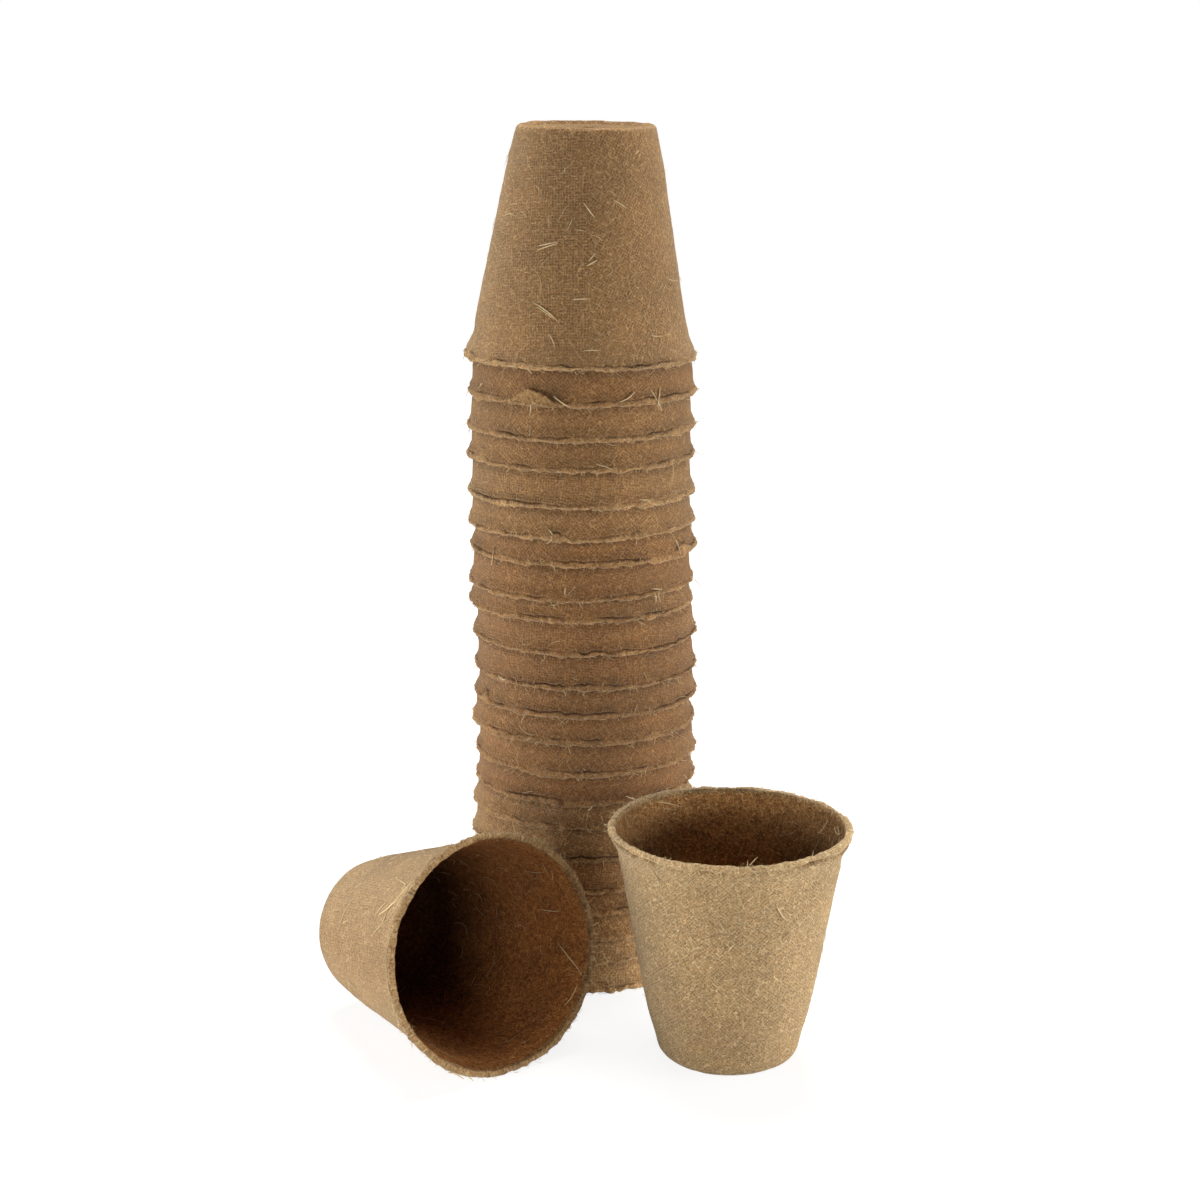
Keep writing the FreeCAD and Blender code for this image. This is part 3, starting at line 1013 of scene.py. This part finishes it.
# What a look can say, with a plain pot's values. Lengths are in millimetres and
# headings in degrees, 0 towards the camera side and 90 to its right.
PLAIN_LOOK = {
    # the shape: how oval the mouth is, how far the foot is pinched, tipped, leant to
    # the right and uneven, how far right the lip sits, and the next lip's distance
    "oval": (1.0, 1.0), "pinch": 0.0, "tip": 0.0, "lean": 0.0, "foot_rag": 0.0, "lip_shift": 0.0,
    "pitch": 0.0,
    # the lip: how deep it is, how ragged and how round, how wide the split under it is,
    # whether it stays below the mouth, its torn places and a flap folded back from it
    "lip_height": 2.3, "rag": 1.0, "bead": 0.34, "split": 1.0, "keep_level": False, "tears": (),
    "flap": None,
    # the colour: how pale and how rich, also inside, where the richer colour is painted shade, how pale
    # the lip is, how much painted shade darkens the bottom of the inside, and painted shade and light at
    # given spots outside and on the inside walls
    "tone": 1.0, "rich": 1.0, "inner_rich": 0.70, "lip_tone": 0.18, "depth": 0.0, "painted_shading": (),
    "inner_painted_shading": (),
    # the strands: placed ones outside, drawn ones and ones inside, then how many are
    # strewn outside, between which heights, inside and round the lip
    "strands": (), "drawn": (), "inner": (), "wall_strands": 0, "strand_heights": (3, 79),
    "inner_strands": 0, "rim_fuzz": 0,
}

# How much of the wall each pot of the stack has, from the floor up.
WALL_SHARES = (
    1.00, 1.08, 0.79, 0.86, 0.73, 1.15, 1.14, 0.84, 0.95, 1.08, 0.91,
    0.94, 1.19, 1.09, 0.66, 1.17, 0.82, 1.01, 1.26, 0.95, 1.12, 0.76,
)

# How pale the stack is at some of its pots, and evenly changing between them: partly the pots' own tone
# and partly painted light and shade, with the middle of the stack darkened where the loose pots stand in
# front.
TONE_STOPS = ((1, 2, 5, 8, 13, 21), (1.10, 1.02, 0.84, 0.65, 0.69, 0.71))


def stack_look(number):
    """What sets a pot of the stack apart: drawn at random, then as the photo shows it."""
    rng = np.random.default_rng(7000 + number)
    look = {
        "seed": 40 + number, "flipped": True, "wall_share": WALL_SHARES[number - 1],
        "seam": float(rng.uniform(60, 300)), "weave": float(rng.uniform(-45, 45)),
        "rim_fuzz": 230, "wall_strands": 22, "strand_heights": (66, 79),
        "lip_height": float(rng.uniform(1.7, 2.4)), "keep_level": number == 1,
        "tone": float(np.interp(number, *TONE_STOPS) + rng.uniform(-0.05, 0.05)),
        # the lowest pots get a richer colour as painted bounce light from the pots around them
        "lip_shift": LIP_SHIFTS.get(number, 0.0), "rich": 0.82 if number < 6 else 0.93,
    }
    if 6 < number < 13:
        # painted shade on the front of the middle of the stack, where the loose pots in front keep the
        # light off
        look["painted_shading"] = ((0, 45, 74, 99, -0.18),)
    look.update(STACK_NOTES.get(number, {}))
    return look


# How far to the right the lip of a nested pot sits, in millimetres.
LIP_SHIFTS = {21: 0.6, 16: 0.7, 13: 1.3, 12: 1.4, 11: 1.6, 10: 0.5, 9: 1.6, 8: 1.3, 7: 0.6}

# What the photo shows of single pots. Tears are (heading, width, and the shift of the split, the flare and
# the edge), painted shading (heading, width, height, spread, and the change of tone, less for painted
# shade and more for a painted highlight), and strands (heading, height, length, direction, curl, lift of
# each end, half thickness).
STACK_NOTES = {
    22: {"seam": 6.0, "weave": 62.0, "lean": 1.3, "tip": 0.9, "oval": (1.012, 1.0), "lip_shift": 0.5,
         "wall_strands": 150, "strand_heights": (3, 79), "tone": 0.80, "inner_strands": 40,
         # a painted highlight round the foot, which faces up
         "foot_rag": 0.4, "painted_shading": ((0, 999, 0.0, 1.4, 0.22),), "rich": 0.93,
         "tears": ((-68, 4, -1.0, 0.6, 0.5),),
         "strands": ((-38, 79.2, 11, 4, -20, 0.2, 0.8), (-30, 78, 6, 20, 30, 0.1, 0.6),
                     (0, 25, 6, 52, 0, 0.0, 0.4, 0.2), (20, 24, 5, 28, 10, 0.0, 0.4, 0.18),
                     (-28, 41, 8, -22, 5, 0.0, 0.4, 0.2), (-27, 39.5, 7, -14, 0, 0.1, 0.4, 0.18),
                     (3, 45.5, 4, -30, 0, 0.1, 0.4, 0.2), (4, 44, 3.5, -50, 0, 0.1, 0.3),
                     (-4, 56.5, 5.5, -8, 10, 0.1, 0.3, 0.2), (-27, 58, 11, 20, 25, 0.1, 0.5, 0.2),
                     (-24, 59.5, 7, 24, 10, 0.1, 0.5), (40, 9, 2.5, -40, 0, 0.1, 0.5, 0.2),
                     (2, 73, 5, -5, 10, 0.1, 0.3, 0.18), (-16, 68, 4, 60, 10, 0.1, 0.3))},
    21: {"tears": ((-64, 4, 0.0, 0.5, 0.3),), "flap": (-42, -11, 0.48, 5.4),
         # painted shadow on the band beside the folded flap
         "painted_shading": ((-13, 7, 74.5, 2.6, -0.42), (-24, 12, 72.5, 1.6, -0.25)),
         "strands": ((36, 74, 9, 62, 10, 0.1, 0.9, 0.22), (44, 73.5, 8, 122, -12, 0.3, 0.8, 0.2),
                     (-66, 73, 6, 60, 15, 0.4, 0.2, 0.2), (-61, 72, 5, 110, 15, 0.2, 0.5, 0.2),
                     (-26, 77, 6, 75, 25, 0.1, 1.1, 0.2), (-32, 76.5, 8, 15, 10, 0.2, 0.9, 0.2),
                     (-14, 76, 7, 35, -10, 0.2, 1.0, 0.2), (18, 78, 7, -10, -40, 0.3, 0.9, 0.2))},
    20: {"tears": ((-14, 20, 0.3, 0.3, 0.0), (60, 6, -0.8, 0.5, 0.2)),
         "strands": ((52, 78, 5, 20, 30, 0.2, 0.7, 0.18), (-30, 71, 8, 40, 60, 0.1, 0.4, 0.16),
                     (5, 74, 5, 100, 40, 0.1, 0.3, 0.16))},
    19: {"tears": ((-60, 3, -3.2, 0.3, 0.0),), "strands": ((8, 77, 6, 12, 20, 0.1, 0.6, 0.18),)},
    18: {"tears": ((15, 8, -0.7, 0.4, 0.3), (36, 4, -1.2, 0.6, 0.3)),
         "strands": ((30, 77, 7, 8, 30, 0.2, 1.0, 0.2),)},
    17: {"tears": ((-12, 4, -1.6, 0.7, 0.6),), "strands": ((-16, 76, 6, 30, 150, 0.3, 1.2, 0.24),)},
    16: {"tears": ((61, 6, -1.8, 0.9, 0.6),),
         "strands": ((56, 70, 9, 78, 25, 0.2, 1.0, 0.24), (60, 77, 5, 10, 30, 0.2, 1.0, 0.2),
                     (-52, 76, 6, 70, 20, 0.2, 1.0, 0.2))},
    15: {"strands": ((39, 78, 4, 60, 80, 0.2, 1.2, 0.2), (43, 78, 4, 120, -60, 0.2, 1.0, 0.18),
                     (38, 77, 4, 5, 10, 0.2, 1.2, 0.2), (-8, 74, 3, 80, 20, 0.2, 0.6, 0.2))},
    12: {"strands": ((-50, 78, 5, 25, -50, 0.2, 0.9, 0.2),)},
    11: {"tears": ((-64, 4, -2.6, 0.5, 0.2),)},
    10: {"tears": ((39, 4, -1.2, 0.4, 0.0),)},
    8: {"tears": ((76, 4, -1.6, 0.4, 0.0), (4, 4, -0.5, 0.6, 0.4)),
        "strands": ((2, 78, 4, 30, 150, 0.2, 1.0, 0.2),)},
}


def flip_at(height):
    """The place of an upside down pot whose foot is at the given height."""
    return Matrix.Translation((0, 0, height)) @ Matrix.Rotation(math.pi, 4, "X")


def top_place(sizes):
    """The top pot's place: leant within its looser seat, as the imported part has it."""
    lean, heading, pivot = math.radians(1.2), math.radians(-35.0), 0.45
    swing = sizes.height * (1 - pivot) * math.sin(lean)
    hinge = Vector((-math.sin(heading), math.cos(heading), 0))
    tilted = Matrix.Rotation(lean, 4, hinge) @ Matrix.Rotation(math.pi, 4, "X")
    base = Vector((swing * math.cos(heading), swing * math.sin(heading), 0))
    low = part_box("stack_pot_22")[0].z
    place = Matrix.Translation(base) @ tilted
    radius = sizes.mouth_radius
    ring = [place @ Vector((radius * math.cos(turn), radius * math.sin(turn), sizes.height))
            for turn in np.linspace(0, 2 * math.pi, 72)]
    lift = low - min(point.z for point in ring)
    return Matrix.Translation((0, 0, lift)) @ place


class PEATPOTS_OT_nested(bpy.types.Operator):
    """Model the stack of pots nested upside down"""

    bl_idname = "peat_pots.nested"
    bl_label = "Nested Pots"

    def execute(self, context):
        sizes = context.scene.peat_pot_sizes
        mould = model_mould(sizes, "nested_mould", 400, 5.0, fine=False)
        for number in range(1, 22):
            node = f"stack_pot_{number:02d}"
            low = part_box(node)[0].z
            look = stack_look(number)
            look["pitch"] = (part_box(f"stack_pot_{number + 1:02d}")[0].z - low) / MM
            make_pot(mould, node, flip_at(low + sizes.height), look, sizes)
        bpy.data.objects.remove(mould)
        return {"FINISHED"}


class PEATPOTS_OT_top(bpy.types.Operator):
    """Model the topmost pot of the stack, which shows its whole wall and base"""

    bl_idname = "peat_pots.top"
    bl_label = "Top Pot"

    def execute(self, context):
        sizes = context.scene.peat_pot_sizes
        mould = model_mould(sizes, "top_mould", 480, 1.5, fine=True)
        make_pot(mould, "stack_pot_22", top_place(sizes), stack_look(22), sizes)
        bpy.data.objects.remove(mould)
        return {"FINISHED"}


class PEATPOTS_OT_loose(bpy.types.Operator):
    """Model the pot that stands and the pot that lies in front of the stack"""

    bl_idname = "peat_pots.loose"
    bl_label = "Loose Pots"

    def execute(self, context):
        sizes = context.scene.peat_pot_sizes
        mould = model_mould(sizes, "loose_mould", 468, 5.0, fine=True)
        upright = {
            "seed": 11, "flipped": False, "wall_share": 1.0, "seam": 75.0, "weave": 4.0, "pinch": 0.035,
            "rim_fuzz": 280, "wall_strands": 150, "inner_strands": 170, "tone": 1.10, "lip_height": 1.9,
            "bead": 0.26, "rag": 0.55, "split": 1.9, "inner_rich": 0.78, "rich": 0.92,
            # a little painted shade in the bottom of the inside
            "lip_tone": 0.05, "depth": 0.2,
            # painted shade on the inside's two sides and painted light on its far wall
            "inner_painted_shading": ((95, 55, -0.52), (-95, 40, -0.30), (180, 42, 0.85)),
            "tears": ((-42, 36, -0.4, 0.5, 0.1), (62, 16, -0.5, 0.5, 0.3)),
            "strands": ((21, 65, 7.5, -65, 20, 0.0, 0.5, 0.22), (-45, 77, 7, -66, 0, 0.2, 0.3, 0.2),
                        (13, 67.5, 5.5, 20, 10, 0.0, 0.4, 0.2), (42, 79, 4, 5, 30, 0.1, 0.5, 0.2),
                        (44, 78, 3, 60, 30, 0.1, 0.9, 0.2), (-2, 79.5, 4, 10, 60, 0.1, 0.6, 0.2),
                        (-4, 49, 3.5, 60, 0, 0.1, 0.4, 0.2), (-2, 50, 3, 130, 0, 0.1, 0.4, 0.2),
                        (3, 56, 5, -38, 0, 0.1, 0.3, 0.18), (14, 42, 2, 60, 0, 0.1, 0.4, 0.22),
                        (11, 75, 7, -20, 10, 0.0, 0.3, 0.2), (-9, 60, 5, -60, 20, 0.0, 0.4, 0.18),
                        (26, 52, 4, 30, 20, 0.1, 0.4, 0.18), (-133, 79, 5, 20, 10, 1.5, 2.5, 0.2)),
            "inner": ((-140, 78, 10.5, 196, 5, 0.5, 0.6, 0.24), (-152, 74, 6, 10, 20, 0.3, 0.5, 0.18)),
        }
        low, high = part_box("upright_pot")
        centre = (low + high) / 2
        make_pot(mould, "upright_pot", Matrix.Translation((centre.x, centre.y, 0)), upright, sizes)
        lying = {
            "seed": 12, "flipped": False, "wall_share": 1.0, "seam": 100.0, "weave": 25.0, "rag": 0.6,
            "rim_fuzz": 280, "wall_strands": 140, "inner_strands": 120, "tone": 0.85, "lip_height": 1.9,
            # painted light on two parts of the inside
            "bead": 0.26, "inner_rich": 0.66, "inner_painted_shading": ((0, 60, 0.35), (75, 40, 0.25)),
            # deep painted shade in the bottom of the inside
            "lip_tone": 0.0, "depth": 0.6, "rich": 0.94,
            "drawn": ((0.34, 0.25, ((-139, 75), (-136, 71.5), (-129, 69.5), (-125, 66), (-122, 62),
                                    (-120, 60))),
                      (0.20, 0.30, ((-124, 65), (-121, 66), (-116, 65), (-112, 61), (-109, 58))),
                      (0.22, 0.35, ((-136, 71.5), (-139, 69), (-141, 63), (-143, 57))),
                      (0.18, 0.30, ((-136, 71.5), (-133, 74), (-128, 74), (-122, 70.5), (-118, 68)))),
            "strands": ((-118, 57, 8, 165, -60, 0.1, 0.3, 0.16),
                        (-34, 78.5, 6, 10, 20, 0.3, 1.0, 0.25), (-28, 79, 5, 160, 30, 0.2, 0.8, 0.22),
                        (-24, 78, 4, 60, 30, 0.2, 0.9, 0.22)),
            "inner": ((80, 66, 15, 122, 12, 0.2, 0.4, 0.22), (100, 60, 9, 100, -20, 0.2, 0.3, 0.18),
                      (60, 77, 8, 185, 10, 0.3, 0.5, 0.2)),
        }
        # the lying pot's axis and the middle of its foot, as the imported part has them
        tilt, heading = math.radians(11.55), math.radians(-54.0)
        level = math.cos(tilt)
        axis = Vector((math.cos(heading) * level, math.sin(heading) * level, math.sin(tilt)))
        side = Vector((-math.sin(heading), math.cos(heading), 0))
        down = side.cross(axis)
        turn = Matrix((side, down * -1, axis)).transposed().to_4x4()
        base = Vector((-0.07347, -0.03299, 0.02354))
        make_pot(mould, "lying_pot", Matrix.Translation(base) @ turn, lying, sizes)
        bpy.data.objects.remove(mould)
        return {"FINISHED"}


class PEATPOTS_OT_stage(bpy.types.Operator):
    """Lay the floor, hang the lamps and set the camera"""

    bl_idname = "peat_pots.stage"
    bl_label = "Stage"

    def execute(self, context):
        stage = context.scene.peat_pot_stage
        deselect_all()
        bpy.ops.mesh.primitive_plane_add(size=6.0, location=(0, 0.5, 0))
        floor = bpy.context.object
        floor.name = "floor"
        floor.data.transform(floor.matrix_world)
        floor.matrix_world = Matrix.Identity(4)
        floor.data.materials.append(material("white_floor"))

        # each lamp's name, place, width and height, and power
        lamps = (
            ("left_lamp", (-1.0, -0.20, 0.16), (0.8, 0.3), 0.88 * stage.side_light),
            ("right_lamp", (1.0, -0.20, 0.16), (0.8, 0.3), stage.side_light),
            ("top_lamp", (0.0, 0.38, 1.25), (0.7, 0.7), stage.top_light),
            ("front_lamp", (-0.17, -0.48, 0.12), (0.16, 0.16), stage.front_light),
        )
        for name, spot, size, power in lamps:
            aim = Vector((0, -0.02, 0.12 if abs(spot[0]) > 0.5 or spot[2] > 1 else 0.04)) - Vector(spot)
            facing = aim.to_track_quat("-Z", "Y").to_euler()
            bpy.ops.object.light_add(type="AREA", location=spot, rotation=facing)
            lamp = bpy.context.object
            lamp.name = name
            lamp.data.shape = "RECTANGLE"
            lamp.data.size, lamp.data.size_y = size
            lamp.data.energy = power
            lamp.data.color = (0.985, 1.0, 0.965)

        world = bpy.data.worlds.new("white_room")
        context.scene.world = world
        world.use_nodes = True
        tree = world.node_tree
        tree.nodes.clear()
        strength = math_node(tree, "MULTIPLY_ADD", seen_rays(tree), 0.97, 0.03)
        sky = add_node(tree, "ShaderNodeBackground", {"Color": (1, 1, 1, 1), "Strength": strength})
        add_node(tree, "ShaderNodeOutputWorld", {"Surface": sky.outputs[0]})

        facing = (math.pi / 2 - stage.pitch, 0, 0)
        bpy.ops.object.camera_add(location=(0.00666, -0.7689, 0.3247), rotation=facing)
        camera = bpy.context.object
        camera.name = "camera"
        camera.data.sensor_width = 36
        camera.data.lens = stage.lens
        camera.data.clip_start = 0.01
        context.scene.camera = camera
        context.scene.view_settings.view_transform = "Standard"
        return {"FINISHED"}


class PEATPOTS_PT_panel(bpy.types.Panel):
    """Lists the steps in the order in which they are run"""

    bl_idname = "PEATPOTS_PT_panel"
    bl_label = "Peat Pots"
    bl_space_type = "VIEW_3D"
    bl_region_type = "UI"
    bl_category = "Peat Pots"

    def draw(self, context):
        layout = self.layout
        for name in ("peat_pot_sizes", "peat_pot_colours", "peat_pot_stage"):
            group = getattr(context.scene, name)
            box = layout.box()
            for key in type(group).__annotations__:
                box.prop(group, key)
        for step in STEPS:
            layout.operator(step.bl_idname)


STEPS = (PEATPOTS_OT_nested, PEATPOTS_OT_top, PEATPOTS_OT_loose, PEATPOTS_OT_stage)
CLASSES = (PotSizes, PotColours, StageSettings, *STEPS, PEATPOTS_PT_panel)


def register():
    for item in CLASSES:
        bpy.utils.register_class(item)
    bpy.types.Scene.peat_pot_sizes = bpy.props.PointerProperty(type=PotSizes)
    bpy.types.Scene.peat_pot_colours = bpy.props.PointerProperty(type=PotColours)
    bpy.types.Scene.peat_pot_stage = bpy.props.PointerProperty(type=StageSettings)


def unregister():
    del bpy.types.Scene.peat_pot_stage
    del bpy.types.Scene.peat_pot_colours
    del bpy.types.Scene.peat_pot_sizes
    for item in reversed(CLASSES):
        bpy.utils.unregister_class(item)


def main():
    register()
    bpy.ops.peat_pots.nested()
    bpy.ops.peat_pots.top()
    bpy.ops.peat_pots.loose()
    bpy.ops.peat_pots.stage()


if __name__ == "__main__":
    main()
